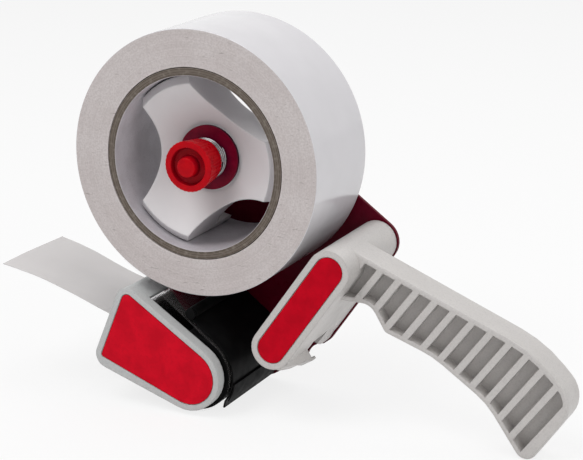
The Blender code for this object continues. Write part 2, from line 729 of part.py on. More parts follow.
def grip_housing():
    handle_far = HANDLE_NEAR + HANDLE_WIDTH
    handle = [rounded_outline(handle_corners())]
    housing = prism("grip_housing", handle, HANDLE_NEAR, handle_far, edge_round=HANDLE_EDGE_ROUND)
    combine(housing, handle_pockets(HANDLE_NEAR - OVERRUN, HANDLE_NEAR + POCKET_DEPTH))
    combine(housing, handle_pockets(handle_far - POCKET_DEPTH, handle_far + OVERRUN))
    combine(housing, prism("grip_outer", [grip_stadium(GRIP_CAP_RADIUS)], -GRIP_FRONT, FAR_END), "UNION")
    combine(housing, grip_heel(), "UNION")
    hollow = [grip_stadium(GRIP_CAP_RADIUS - GRIP_WALL)]
    combine(housing, prism("grip_hollow", hollow, GRIP_FACE_WALL - GRIP_FRONT, FAR_END + OVERRUN))
    combine(housing, grip_scoop())
    combine(housing, grip_lug(), "UNION")
    recess = [grip_stadium(GRIP_CAP_RADIUS - GRIP_RIM)]
    combine(housing, prism("grip_recess", recess, -GRIP_FRONT - OVERRUN, LABEL_RECESS - GRIP_FRONT))
    boss_near = GRIP_FACE_WALL - GRIP_FRONT - LABEL_RECESS
    bosses = [drilled("boss", centre, GRIP_BOSS_RADIUS, boss_near, FAR_END) for centre in GRIP_SCREWS]
    combine(housing, joined("grip_bosses", bosses), "UNION")
    combine(housing, screw_bores("grip_bores", GRIP_SCREWS))
    place(housing, ROOT, GREY)


def grip_label():
    far = LABEL_RECESS - GRIP_FRONT - FIT_GAP
    outline = grip_stadium(GRIP_CAP_RADIUS - GRIP_RIM - FIT_GAP)
    place(prism("grip_label", [outline], far - LABEL_THICKNESS, far), ROOT, RED_LABEL)


def cheek_recess_outline(inset):
    """The label recess in the cheek, narrower at the toe, or the label that lies in it."""
    toe = CHEEK_TOE + Vector((-CHEEK_LABEL_TOE_REACH, 0))
    return belt_outline([
        (CHEEK_TOP, CHEEK_TOP_RADIUS - CHEEK_RIM - inset),
        (toe, CHEEK_LABEL_TOE_RADIUS - inset),
        (ROLLER_CENTRE, CHEEK_ROLLER_END_RADIUS - CHEEK_RIM - inset),
    ])


def nose_guard():
    cheek_outline = belt_outline([
        (CHEEK_TOP, CHEEK_TOP_RADIUS),
        (CHEEK_TOE, CHEEK_TOE_RADIUS),
        (ROLLER_CENTRE, CHEEK_ROLLER_END_RADIUS),
    ])
    guard = prism("nose_guard", [cheek_outline], CHEEK_NEAR, CHEEK_FAR)
    recess = [cheek_recess_outline(0)]
    combine(guard, prism("nose_recess", recess, CHEEK_NEAR - OVERRUN, CHEEK_NEAR + LABEL_RECESS))
    wall_radius = CHEEK_TOP_RADIUS - FIT_GAP - FRONT_WALL / 2
    wall_angle = angle_of(FRONT_WALL_OUT)
    bend = math.radians(FRONT_WALL_BEND_DEG)
    wall_path = arc_points(CHEEK_TOP, wall_radius, wall_angle - bend, bend)
    top_wall_along = unit(math.degrees(wall_angle - bend) - 90)
    wall_path.insert(0, tuple(Vector(wall_path[0]) + top_wall_along * TOP_WALL_LENGTH))
    wall_path.append(tuple(Vector(wall_path[-1]) + FRONT_WALL_ALONG * FRONT_WALL_LENGTH))
    middle = (CHEEK_NEAR + CHEEK_FAR) / 2
    wall = [ribbon_outline(wall_path, FRONT_WALL)]
    combine(guard, prism("front_wall", wall, middle, FAR_END - FIT_GAP), "UNION")
    combine(guard, drilled("nose_boss", CHEEK_TOP, NOSE_BOSS_RADIUS, middle + FIT_GAP, FAR_END), "UNION")
    combine(guard, screw_bores("nose_bore", [CHEEK_TOP]))
    socket_near = CHEEK_FAR - AXLE_SOCKET_DEPTH - FIT_GAP
    socket = drilled("axle_socket", ROLLER_CENTRE, AXLE_RADIUS + FIT_GAP, socket_near, CHEEK_FAR + OVERRUN)
    combine(guard, socket)
    place(guard, ROOT, GREY)


def nose_label():
    far = CHEEK_NEAR + LABEL_RECESS - FIT_GAP
    outline = cheek_recess_outline(FIT_GAP)
    place(prism("nose_label", [outline], far - LABEL_THICKNESS, far), ROOT, RED_LABEL)


def blade_frame(offset, depth):
    """Stands an outline, drawn in Y and up the holder's face, off that face."""
    origin = HOLDER_HEEL + HOLDER_OUT * offset
    return Matrix((
        (0, HOLDER_FACE.x, -HOLDER_OUT.x, origin.x),
        (1, 0, 0, depth),
        (0, HOLDER_FACE.y, -HOLDER_OUT.y, origin.y),
        (0, 0, 0, 1),
    ))


def blade_screw_frames():
    return [
        blade_frame(0, TAPE_WIDTH * share) @ Matrix.Translation((0, BLADE_SCREW_RISE, 0))
        for share in BLADE_SCREW_SHARES
    ]


def blade_holder():
    outline = [tuple(point) for point in (HOLDER_LIP, HOLDER_HEEL, HOLDER_TOE, HOLDER_TAIL)]
    holder = prism("blade_holder", [outline], CHEEK_FAR + FIT_GAP, FAR_END)
    combine(holder, screw_bores("holder_bores", HOLDER_SCREWS))
    bore = rod_profile((SCREW_RADIUS + FIT_GAP, -OVERRUN, BLADE_SCREW_LENGTH + FIT_GAP))
    bores = [turned("bore", bore, facets=BOSS_FACETS, matrix=frame) for frame in blade_screw_frames()]
    combine(holder, joined("blade_bores", bores))
    place(holder, ROOT, BLACK_STEEL)


def cutting_blade():
    top = HOLDER_FACE_LENGTH + BLADE_PROUD
    root = top - BLADE_TOOTH_HEIGHT
    pitch = TAPE_WIDTH / BLADE_TOOTH_COUNT
    outline = [(TAPE_WIDTH, top - BLADE_HEIGHT), (TAPE_WIDTH, root)]
    for index in range(BLADE_TOOTH_COUNT, 0, -1):
        outline.append((pitch * (index - 1 / 2), top))
        outline.append((pitch * (index - 1), root))
    outline.append((0, top - BLADE_HEIGHT))
    blade = prism("cutting_blade", [outline], 0, BLADE_SHEET, blade_frame(FIT_GAP + BLADE_SHEET / 2, 0))
    bore = rod_profile((SCREW_RADIUS + FIT_GAP, -BLADE_SHEET - OVERRUN, OVERRUN))
    bores = [turned("bore", bore, facets=BOSS_FACETS, matrix=frame) for frame in blade_screw_frames()]
    combine(blade, joined("blade_holes", bores))
    place(blade, ROOT, STEEL)


def blade_screws():
    under_head = -(BLADE_SHEET + FIT_GAP * 2)
    profile = rod_profile((SCREW_RADIUS, under_head, BLADE_SCREW_LENGTH),
                          (SCREW_HEAD_RADIUS, under_head - BLADE_SCREW_HEAD, under_head))
    for number, frame in enumerate(blade_screw_frames(), start=1):
        place(turned(f"blade_screw_{number}", profile, facets=BOSS_FACETS, matrix=frame), ROOT, STEEL)


def plate_fasteners():
    for name, centres in (("housing_screw", GRIP_SCREWS), ("holder_screw", HOLDER_SCREWS),
                          ("nose_screw", (CHEEK_TOP,))):
        for number, centre in enumerate(centres, start=1):
            place(plate_screw(f"{name}_{number}", centre), ROOT, STEEL)


def roller_parts():
    near = ROLLER_END_GAP
    far = TAPE_WIDTH - ROLLER_END_GAP
    sleeve_bore = ROLLER_RADIUS - SLEEVE_WALL
    sleeve = turned("applicator_roller", ring_profile(sleeve_bore, ROLLER_RADIUS, near, far), ROLLER_CENTRE)
    place(sleeve, ROLLER, RUBBER)
    rim = sleeve_bore - FIT_GAP
    inner_rim = rim - ROLLER_CORE_RIM
    bore = AXLE_RADIUS + FIT_GAP
    hub = bore + ROLLER_HUB_WALL
    profile = [
        (rim, far), (rim, near), (inner_rim, near), (inner_rim, near + ROLLER_CORE_DISH),
        (hub, near + ROLLER_CORE_DISH), (hub, near), (bore, near), (bore, far), (hub, far),
        (hub, far - ROLLER_CORE_DISH), (inner_rim, far - ROLLER_CORE_DISH), (inner_rim, far),
    ]
    place(turned("roller_core", profile, ROLLER_CENTRE), ROLLER, BLACK_STEEL)
    axle = rod_profile((AXLE_RADIUS, CHEEK_FAR - AXLE_SOCKET_DEPTH, PLATE_FAR))
    place(turned("roller_axle", axle, ROLLER_CENTRE, BOSS_FACETS), ROOT, STEEL)
    outer = bore + THRUST_WASHER_WIDTH
    for name, start, end in (("roller_washer_near", CHEEK_FAR + FIT_GAP, near - FIT_GAP),
                             ("roller_washer_far", far + FIT_GAP, FAR_END)):
        place(turned(name, ring_profile(bore, outer, start, end), ROLLER_CENTRE), ROOT, NYLON)


def tape_roll():
    core = ring_profile(CORE_BORE_RADIUS, CORE_RADIUS, 0, TAPE_WIDTH)
    place(turned("tape_core", core), REEL, CARDBOARD)
    winding = ring_profile(CORE_RADIUS + FIT_GAP, ROLL_RADIUS, 0, TAPE_WIDTH)
    place(turned("tape_winding", winding, facets=ROLL_FACETS), REEL, TAPE)


def tape_tail():
    """The film from the roll, round the roller, up to the slot and out as the free strip."""
    path = [tuple(-TAPE_NORMAL * ROLL_FILM_RADIUS)]
    path += arc_points(ROLLER_CENTRE, ROLLER_FILM_RADIUS, TAPE_ON_ROLLER, TAPE_OFF_ROLLER - TAPE_ON_ROLLER)
    path.append(tuple(SLOT))
    for reach_share, rise_share in STRIP_SHARES:
        path.append(tuple(SLOT + Vector((-STRIP_REACH * reach_share, STRIP_RISE * rise_share))))
    place(prism("tape_tail", [ribbon_outline(path, FILM_THICKNESS)], 0, TAPE_WIDTH), ROOT, TAPE)


def dish_depth(radius):
    """Depth of the hub's dished front at a radius."""
    return HUB_FRONT + HUB_SEAT_DEPTH * (HUB_LIP_RADIUS - radius) / (HUB_LIP_RADIUS - HUB_SEAT_RADIUS)


def hub_scallops(name, radius, near, far):
    turns = [LOBE_TURN_DEG + 360 * index / LOBE_COUNT for index in range(LOBE_COUNT)]
    circles = [circle_outline(unit(turn) * SCALLOP_DISTANCE, radius, SCALLOP_FACETS) for turn in turns]
    return prism(name, circles, near, far)


def reel_hub():
    bore = STUD_RADIUS + FIT_GAP
    tube = bore + HUB_TUBE_WALL
    hub = turned("reel_hub", [
        (HUB_RADIUS, HUB_FAR), (HUB_RADIUS, HUB_FRONT + HUB_LIP_DEPTH), (HUB_LIP_RADIUS, HUB_FRONT),
        (HUB_SEAT_RADIUS, HUB_SEAT), (bore, HUB_SEAT), (bore, HUB_FAR),
    ])
    combine(hub, hub_scallops("hub_scallops", SCALLOP_RADIUS, HUB_FRONT - OVERRUN, HUB_FAR + OVERRUN))
    skirt = HUB_RADIUS - HUB_WALL
    shoulder = HUB_LIP_RADIUS - HUB_WALL
    cavity = turned("hub_cavity", [
        (skirt, HUB_FAR + OVERRUN), (skirt, HUB_FRONT + HUB_LIP_DEPTH + HUB_WALL),
        (shoulder, dish_depth(shoulder) + HUB_WALL), (HUB_SEAT_RADIUS, HUB_SEAT + HUB_WALL),
        (tube, HUB_SEAT + HUB_WALL), (tube, HUB_FAR + OVERRUN),
    ])
    web_far = HUB_FRONT + HUB_WEB_DEPTH
    margins = hub_scallops("cavity_scallops", SCALLOP_RADIUS + HUB_WALL, HUB_FRONT - OVERRUN, web_far)
    combine(cavity, margins)
    combine(hub, cavity)
    place(hub, REEL, GREY)


def hub_stud():
    shank_near = HUB_SEAT + FIT_GAP * 2
    flange_near = HUB_FAR + HUB_REAR_WASHER + FIT_GAP * 2
    profile = rod_profile(
        (STUD_SPIGOT_RADIUS, FAR_END, PLATE_FAR),
        (STUD_FLANGE_RADIUS, flange_near, FAR_END),
        (STUD_RADIUS, shank_near, flange_near),
        (STUD_THREAD_RADIUS, STUD_TIP, shank_near),
    )
    place(turned("hub_stud", profile), ROOT, STEEL)
    near = HUB_FAR + FIT_GAP
    washer = ring_profile(STUD_RADIUS + FIT_GAP, HUB_REAR_WASHER_RADIUS, near, near + HUB_REAR_WASHER)
    place(turned("hub_rear_washer", washer), ROOT, NYLON)


def brake_washer():
    bore = STUD_THREAD_RADIUS + FIT_GAP
    far = BRAKE_WASHER_FRONT + BRAKE_WASHER_THICKNESS
    washer = ring_profile(bore, BRAKE_WASHER_RADIUS, BRAKE_WASHER_FRONT, far)
    place(turned("brake_washer", washer), ROOT, DARK_RED)


def brake_spring():
    """One unbroken helix; prints the least gap between its turns."""
    coil = SPRING_OUTER_RADIUS - SPRING_WIRE / 2
    first = SPRING_NEAR + SPRING_WIRE / 2
    rise = SPRING_LENGTH - SPRING_WIRE
    count = round(SPRING_TURNS * SPRING_POINTS_PER_TURN)
    points = []
    for index in range(count + 1):
        angle = math.tau * SPRING_TURNS * index / count
        points.append(Vector((coil * math.cos(angle), first + rise * index / count, coil * math.sin(angle))))
    curve = bpy.data.curves.new("brake_spring", "CURVE")
    curve.dimensions = "3D"
    curve.bevel_depth = SPRING_WIRE / 2
    curve.bevel_resolution = 1
    curve.use_fill_caps = True
    spline = curve.splines.new("POLY")
    spline.points.add(count)
    for point, place_on_helix in zip(spline.points, points):
        point.co = (*place_on_helix, 1)
    holder = bpy.data.objects.new("brake_spring", curve)
    place(mesh_from(holder, Matrix.Identity(4)), ROOT, STEEL)
    apart = SPRING_POINTS_PER_TURN // 2
    gaps = [(points[a] - points[b]).length for a in range(count + 1) for b in range(a + apart, count + 1)]
    print("brake spring: least gap between turns %.2f mm" % ((min(gaps) - SPRING_WIRE) * 1000))


def spring_seat_washer():
    far = SPRING_NEAR - FIT_GAP
    bore = STUD_THREAD_RADIUS + FIT_GAP
    washer = ring_profile(bore, SPRING_OUTER_RADIUS, far - SEAT_WASHER_THICKNESS, far)
    place(turned("spring_seat_washer", washer), CARRIER, STEEL)


def brake_knob():
    bore = STUD_THREAD_RADIUS + FIT_GAP
    bore_end = STUD_TIP - KNOB_BORE_PAST_TIP
    boss_front = KNOB_FRONT - KNOB_BOSS_PROUD
    knob = turned("brake_knob", [
        (0, bore_end), (bore, bore_end), (bore, KNOB_BACK),
        (KNOB_BACK_RADIUS - KNOB_EDGE, KNOB_BACK), (KNOB_BACK_RADIUS, KNOB_BACK - KNOB_EDGE),
        (KNOB_FRONT_RADIUS, KNOB_FRONT + KNOB_EDGE), (KNOB_FRONT_RADIUS - KNOB_EDGE, KNOB_FRONT),
        (KNOB_RECESS_RADIUS, KNOB_FRONT), (KNOB_RECESS_RADIUS, KNOB_FRONT + KNOB_RECESS),
        (KNOB_BOSS_RADIUS, KNOB_FRONT + KNOB_RECESS), (KNOB_BOSS_RADIUS, boss_front + KNOB_EDGE),
        (KNOB_BOSS_RADIUS - KNOB_EDGE, boss_front), (0, boss_front),
    ], facets=KNURL_COUNT * 2)
    pitch = math.tau / (KNURL_COUNT * 2)
    for vertex in knob.data.vertices:
        radius = math.hypot(vertex.co.x, vertex.co.z)
        column = round(math.atan2(vertex.co.z, vertex.co.x) / pitch)
        if radius > KNOB_RECESS_RADIUS + FIT_GAP and column % 2:
            vertex.co.x *= (radius - KNURL_DEPTH) / radius
            vertex.co.z *= (radius - KNURL_DEPTH) / radius
    place(knob, KNOB, RED_KNOB)


def tape_flap():
    """A sheet rolled round its pin, lying above the film and round the front of the roller."""
    low = math.radians(FLAP_LOW_DEG)
    path = arc_points(ROLLER_CENTRE, FLAP_MID_RADIUS, low, TAPE_ON_ROLLER - low)
    lip = Vector(path[0]) + unit(FLAP_LOW_DEG - 90 + FLAP_LIP_TURN_DEG) * FLAP_LIP_LENGTH
    path.insert(0, tuple(lip))
    path += arc_points(FLAP_HINGE, FLAP_EYE_RADIUS, angle_of(-TAPE_NORMAL), -math.radians(FLAP_EYE_WRAP_DEG))
    near = FLAP_PIN_HEAD + FIT_GAP
    place(prism("tape_flap", [ribbon_outline(path, FLAP_SHEET)], near, FAR_END), FLAP, BLACK_STEEL)
    radius = FLAP_MID_RADIUS + FLAP_SHEET / 2 + FIT_GAP + WIPER_SHEET / 2
    start = math.radians(WIPER_FROM_DEG)
    wiper_path = arc_points(ROLLER_CENTRE, radius, start, math.radians(WIPER_TO_DEG) - start)
    wiper = prism("flap_wiper", [ribbon_outline(wiper_path, WIPER_SHEET)], near, FAR_END)
    place(wiper, FLAP, RUBBER)
    pin = rod_profile((FLAP_PIN_RADIUS, FLAP_PIN_HEAD, PLATE_FAR), (FLAP_PIN_HEAD_RADIUS, 0, FLAP_PIN_HEAD))
    place(turned("flap_pin", pin, FLAP_HINGE, BOSS_FACETS), ROOT, BLACK_STEEL)


def stand_on_origin():
    """Centres the whole object's box over the origin, with its lowest point at zero."""
    bpy.context.view_layer.update()
    graph = bpy.context.evaluated_depsgraph_get()
    corners = []
    for piece in PARTS.objects:
        if piece.type == "MESH":
            shown = piece.evaluated_get(graph)
            corners += [shown.matrix_world @ vertex.co for vertex in shown.data.vertices]
    low = Vector([min(corner[axis] for corner in corners) for axis in range(3)])
    high = Vector([max(corner[axis] for corner in corners) for axis in range(3)])
    ROOT.location = (-(low.x + high.x) / 2, -(low.y + high.y) / 2, -low.z)
    print("assembly moved by (mm)", [round(value * 1000, 3) for value in ROOT.location])
    for name, centre in (("roller axis", ROLLER_CENTRE), ("flap hinge", FLAP_HINGE)):
        print(name, "in the design frame (mm)", round(centre.x * 1000, 3), round(centre.y * 1000, 3))


side_plate()
grip_housing()
grip_label()
nose_guard()
nose_label()
blade_holder()
cutting_blade()
blade_screws()
plate_fasteners()
roller_parts()
tape_roll()
tape_tail()
reel_hub()
hub_stud()
brake_washer()
brake_spring()
spring_seat_washer()
brake_knob()
tape_flap()
stand_on_origin()
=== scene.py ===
"""Looks of the packing tape dispenser: finishes, rounded edges, film, floor, light and camera."""
import json
import math

import bmesh
import bpy
from mathutils import Matrix, Vector

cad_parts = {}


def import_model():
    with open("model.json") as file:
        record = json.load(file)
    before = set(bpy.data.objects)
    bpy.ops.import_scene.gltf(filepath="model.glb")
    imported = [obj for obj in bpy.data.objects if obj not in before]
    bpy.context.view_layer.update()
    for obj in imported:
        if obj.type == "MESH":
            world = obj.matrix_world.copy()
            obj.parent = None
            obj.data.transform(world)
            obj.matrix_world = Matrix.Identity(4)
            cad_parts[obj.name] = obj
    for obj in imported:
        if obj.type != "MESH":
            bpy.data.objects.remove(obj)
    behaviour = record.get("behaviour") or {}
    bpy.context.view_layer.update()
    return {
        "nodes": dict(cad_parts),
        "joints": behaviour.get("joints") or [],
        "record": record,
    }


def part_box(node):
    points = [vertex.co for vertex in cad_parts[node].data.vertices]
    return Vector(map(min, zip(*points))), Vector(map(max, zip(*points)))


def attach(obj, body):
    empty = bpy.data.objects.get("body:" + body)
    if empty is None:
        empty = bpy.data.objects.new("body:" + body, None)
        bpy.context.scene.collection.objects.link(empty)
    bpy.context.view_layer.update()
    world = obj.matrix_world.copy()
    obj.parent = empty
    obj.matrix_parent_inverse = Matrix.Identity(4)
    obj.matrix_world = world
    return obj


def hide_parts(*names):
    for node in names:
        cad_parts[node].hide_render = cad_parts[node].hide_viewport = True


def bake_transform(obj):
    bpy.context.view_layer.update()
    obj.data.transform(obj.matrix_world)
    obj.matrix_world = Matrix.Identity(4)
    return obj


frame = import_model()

# Places read from the frame
JOINTS = {joint["name"]: joint for joint in frame["joints"]}
BODY_OF = {node: body for body, nodes in frame["record"]["behaviour"]["bodies"].items() for node in nodes}
ROLL_LOW, ROLL_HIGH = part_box("tape_winding")
CORE_LOW, CORE_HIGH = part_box("tape_core")
REEL_AXIS = Vector((JOINTS["reel_spin"]["pos_m"][0], ROLL_LOW.y, JOINTS["reel_spin"]["pos_m"][2]))
ROLLER_AXIS = Vector((JOINTS["roller_spin"]["pos_m"][0], ROLL_LOW.y, JOINTS["roller_spin"]["pos_m"][2]))
TAPE_WIDTH = ROLL_HIGH.y - ROLL_LOW.y
ROLL_RADIUS = (ROLL_HIGH.x - ROLL_LOW.x) / 2
CORE_RADIUS = (CORE_HIGH.x - CORE_LOW.x) / 2

# Photograph's camera, measured from the reel axis at the open edge of the tape
CAMERA_FROM_REEL = Vector((0.3728, -0.6776, 0.1951))
CAMERA_PITCH_DEG = -16.17
CAMERA_TURN_DEG = 25.72
CAMERA_LENS = 116.05
CAMERA_SENSOR = 36.0
CAMERA_NEAREST = 0.01
CAMERA_FARTHEST = 20

# Modelling values
WELD = 0.000004
FLAT_DEG = 0.7
EDGE_DEG = 28.0
EDGE_SEGMENTS = 3
SMOOTH_DEG = 40.0
KNOB_SMOOTH_DEG = 50.0
ROUND_STEPS = 4
FIT_GAP = 0.0003

# Sockets of a Mix node that mixes colours, and the samples of the shading nodes
MIX_FIRST = 6
MIX_SECOND = 7
MIX_RESULT = 2
# Samples and AO range of the painted crevice shade
CREVICE_SAMPLES = 8
CREVICE_DEEP = 0.25
CREVICE_OPEN = 0.85
EDGE_SAMPLES = 6


def cleaned(node):
    """The node's solid as a bmesh with whole flat faces."""
    shape = bmesh.new()
    shape.from_mesh(frame["nodes"][node].data)
    bmesh.ops.remove_doubles(shape, verts=shape.verts, dist=WELD)
    bmesh.ops.dissolve_limit(shape, angle_limit=math.radians(FLAT_DEG), verts=shape.verts, edges=shape.edges)
    return shape


def as_piece(name, shape, node, finishes, smooth_deg=SMOOTH_DEG):
    """Turns a bmesh into a piece that takes the place of a node, which it hides, and rides on its body."""
    mesh = bpy.data.meshes.new(name)
    shape.to_mesh(mesh)
    shape.free()
    piece = bpy.data.objects.new(name, mesh)
    bpy.context.scene.collection.objects.link(piece)
    for finish in finishes:
        piece.data.materials.append(finish)
    piece.data.shade_smooth()
    piece.data.set_sharp_from_angle(angle=math.radians(smooth_deg))
    normals = piece.modifiers.new("even_normals", "WEIGHTED_NORMAL")
    normals.keep_sharp = True
    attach(piece, BODY_OF[node])
    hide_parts(node)
    return piece


def softened(node, finish, width):
    """A copy of a node with rounded edges."""
    shape = cleaned(node)
    sharp = [edge for edge in shape.edges
             if len(edge.link_faces) == 2 and edge.calc_face_angle(0) > math.radians(EDGE_DEG)]
    bmesh.ops.bevel(shape, geom=sharp, offset=width, offset_type="OFFSET", segments=EDGE_SEGMENTS,
                    profile=0.5, affect="EDGES", clamp_overlap=True)
    return as_piece(node + "_finished", shape, node, [finish])


def turned(name, profile, node, finishes, facets, second):
    """A closed (radius, depth) profile turned about the reel axis; depth counts from the tape's open edge.

    second picks the faces of the second finish by how far their normals point away from the axis.
    """
    shape = bmesh.new()
    rings = []
    for index in range(facets):
        angle = math.tau * index / facets
        rings.append([shape.verts.new((REEL_AXIS.x + radius * math.cos(angle), REEL_AXIS.y + depth,
                                       REEL_AXIS.z + radius * math.sin(angle))) for radius, depth in profile])
    for index in range(facets):
        here, there = rings[index], rings[(index + 1) % facets]
        for corner in range(len(profile)):
            after = (corner + 1) % len(profile)
            shape.faces.new((here[corner], here[after], there[after], there[corner]))
    bmesh.ops.remove_doubles(shape, verts=shape.verts, dist=WELD)
    bmesh.ops.dissolve_degenerate(shape, edges=shape.edges, dist=WELD)
    bmesh.ops.recalc_face_normals(shape, faces=shape.faces)
    for face in shape.faces:
        middle = face.calc_center_median() - REEL_AXIS
        face.material_index = int(second(face.normal.dot(Vector((middle.x, 0, middle.z)).normalized())))
    return as_piece(name, shape, node, finishes)


def corner_points(corner, before, after, radius):
    """Rounds one corner of a profile with an arc between its two neighbours."""
    point = Vector(corner)
    back = (Vector(before) - point).normalized()
    ahead = (Vector(after) - point).normalized()
    half = back.angle(ahead) / 2
    centre = point + (back + ahead).normalized() * (radius / math.sin(half))
    reach = radius / math.tan(half)
    start = point + back * reach - centre
    end = point + ahead * reach - centre
    turn = start.angle_signed(end)
    points = []
    for step in range(ROUND_STEPS + 1):
        share = step / ROUND_STEPS
        points.append(tuple(centre + Matrix.Rotation(-turn * share, 2) @ start))
    return points


def rounded_profile(corners):
    """A closed profile of (radius, depth, rounding) corners."""
    profile = []
    for index, (radius, depth, rounding) in enumerate(corners):
        if rounding <= 0:
            profile.append((radius, depth))
            continue
        before = corners[index - 1][:2]
        after = corners[(index + 1) % len(corners)][:2]
        profile += corner_points((radius, depth), before, after, rounding)
    return profile


# Finishes: each has its own small scale detail, in metres of the object

class Paint:
    """A Principled material and the few nodes that the finishes share."""

    def __init__(self, name, color, roughness, metallic=0.0, **sockets):
        self.material = bpy.data.materials.new(name)
        self.material.use_nodes = True
        self.nodes = self.material.node_tree.nodes
        self.links = self.material.node_tree.links
        self.shader = self.nodes["Principled BSDF"]
        self.color = color
        self.set("Base Color", (*color, 1))
        self.set("Roughness", roughness)
        self.set("Metallic", metallic)
        for socket, value in sockets.items():
            self.set(socket.replace("_", " "), value)
        self.place = self.nodes.new("ShaderNodeTexCoord").outputs["Object"]
        self.bump = None

    def set(self, socket, value):
        self.shader.inputs[socket].default_value = value

    def stretched(self, scale, origin=(0, 0, 0)):
        """Object coordinates, moved to an origin and scaled along each axis."""
        mapping = self.nodes.new("ShaderNodeMapping")
        mapping.vector_type = "POINT"
        mapping.inputs["Location"].default_value = [-a * b for a, b in zip(origin, scale)]
        mapping.inputs["Scale"].default_value = scale
        self.links.new(self.place, mapping.inputs["Vector"])
        return mapping.outputs["Vector"]

    def noise(self, scale, detail, vector=None, distortion=0.0):
        texture = self.nodes.new("ShaderNodeTexNoise")
        texture.inputs["Scale"].default_value = scale
        texture.inputs["Detail"].default_value = detail
        texture.inputs["Distortion"].default_value = distortion
        self.links.new(vector or self.place, texture.inputs["Vector"])
        return texture.outputs["Fac"]

    def radius_noise(self, axis, scale, detail):
        """Noise that changes only with the distance from an axis along Y."""
        flat = self.stretched((1, 0, 1), axis)
        length = self.nodes.new("ShaderNodeVectorMath")
        length.operation = "LENGTH"
        self.links.new(flat, length.inputs[0])
        texture = self.nodes.new("ShaderNodeTexNoise")
        texture.noise_dimensions = "1D"
        texture.inputs["Scale"].default_value = scale
        texture.inputs["Detail"].default_value = detail
        self.links.new(length.outputs["Value"], texture.inputs["W"])
        return texture.outputs["Fac"]

    def spread(self, value, low, high, to_low=0.0, to_high=1.0):
        """Maps a socket's range to another, clamped."""
        node = self.nodes.new("ShaderNodeMapRange")
        node.inputs["From Min"].default_value = low
        node.inputs["From Max"].default_value = high
        node.inputs["To Min"].default_value = to_low
        node.inputs["To Max"].default_value = to_high
        self.links.new(value, node.inputs["Value"])
        return node.outputs["Result"]

    def vary_color(self, value, other):
        """Mixes the present base colour towards another one by a 0 to 1 socket."""
        mix = self.nodes.new("ShaderNodeMix")
        mix.data_type = "RGBA"
        present = self.shader.inputs["Base Color"]
        if present.is_linked:
            self.links.new(present.links[0].from_socket, mix.inputs[MIX_FIRST])
        else:
            mix.inputs[MIX_FIRST].default_value = (*self.color, 1)
        mix.inputs[MIX_SECOND].default_value = (*other, 1)
        self.links.new(value, mix.inputs["Factor"])
        self.links.new(mix.outputs[MIX_RESULT], present)

    def vary_roughness(self, value, low, high):
        self.links.new(self.spread(value, 0.3, 0.7, low, high), self.shader.inputs["Roughness"])

    def paint_crevice_shade(self, distance, other):
        """Paints shade into the colour where the surface is close to another one: painted crevice shade."""
        node = self.nodes.new("ShaderNodeAmbientOcclusion")
        node.samples = CREVICE_SAMPLES
        node.inputs["Distance"].default_value = distance
        self.vary_color(self.spread(node.outputs["AO"], CREVICE_DEEP, CREVICE_OPEN, 1, 0), other)

    def soft_edges(self, radius):
        """Shades the edges as if they were rounded; comes before any relief."""
        node = self.nodes.new("ShaderNodeBevel")
        node.samples = EDGE_SAMPLES
        node.inputs["Radius"].default_value = radius
        self.bump = node.outputs["Normal"]
        self.links.new(self.bump, self.shader.inputs["Normal"])

    def relief(self, value, height, strength):
        """Adds a bump whose full height is in metres."""
        node = self.nodes.new("ShaderNodeBump")
        node.inputs["Strength"].default_value = strength
        node.inputs["Distance"].default_value = height
        self.links.new(value, node.inputs["Height"])
        if self.bump:
            self.links.new(self.bump, node.inputs["Normal"])
        self.bump = node.outputs["Normal"]
        self.links.new(self.bump, self.shader.inputs["Normal"])


def grey_plastic(name, color):
    """Light grey moulding with a fine spark grain and slight unevenness from the mould."""
    paint = Paint(name, color, 0.42, Specular_IOR_Level=0.4)
    paint.vary_color(paint.spread(paint.noise(38, 4), 0.35, 0.7), tuple(c * 0.94 for c in color))
    paint.vary_color(paint.spread(paint.noise(1250, 3), 0.45, 0.70, 0, 0.55), tuple(c * 0.80 for c in color))
    paint.vary_roughness(paint.noise(150, 3), 0.36, 0.52)
    paint.soft_edges(0.0008)
    paint.relief(paint.noise(60, 2), 0.00006, 0.6)
    paint.relief(paint.noise(4200, 2), 0.000014, 0.8)
    return paint.material


def hub_plastic():
    paint = Paint("hub_plastic", (0.680, 0.662, 0.672), 0.36, Coat_Weight=0.30, Coat_Roughness=0.30)
    paint.vary_color(paint.spread(paint.noise(45, 3), 0.35, 0.7), (0.635, 0.615, 0.625))
    paint.vary_roughness(paint.noise(200, 3), 0.32, 0.46)
    paint.soft_edges(0.0011)
    paint.relief(paint.noise(3600, 2), 0.000012, 0.7)
    return paint.material


def red_label(name, color):
    paint = Paint(name, color, 0.5, Specular_IOR_Level=0.04)
    mottle = paint.noise(130, 4, distortion=0.4)
    paint.vary_color(paint.spread(mottle, 0.38, 0.66), tuple(c * 0.82 for c in color))
    paint.vary_color(paint.spread(paint.noise(700, 2), 0.5, 0.8, 0, 0.4), tuple(c * 0.7 for c in color))
    paint.vary_roughness(paint.noise(260, 3), 0.42, 0.6)
    paint.relief(paint.noise(1500, 3), 0.00003, 0.5)
    return paint.material


def glossy_red(name, color, dark):
    paint = Paint(name, color, 0.3, Specular_IOR_Level=0.07)
    paint.vary_color(paint.spread(paint.noise(220, 3), 0.4, 0.7), dark)
    # Painted shade: the red deepens where the surface is near another one, in the knob's recess and on the
    # washer beside the knob
    paint.paint_crevice_shade(0.006, tuple(c * share for c, share in zip(color, (0.2, 0.35, 0.9))))
    paint.vary_roughness(paint.noise(420, 3), 0.24, 0.4)
    paint.relief(paint.noise(2200, 2), 0.00002, 0.5)
    return paint.material


def maroon_paint():
    paint = Paint("maroon_paint", (0.115, 0.0016, 0.0130), 0.32, Specular_IOR_Level=0.06)
    paint.vary_color(paint.spread(paint.noise(60, 4), 0.4, 0.7), (0.085, 0.0012, 0.0095))
    paint.vary_roughness(paint.noise(300, 3), 0.26, 0.42)
    paint.relief(paint.noise(850, 2), 0.00003, 0.6)
    return paint.material


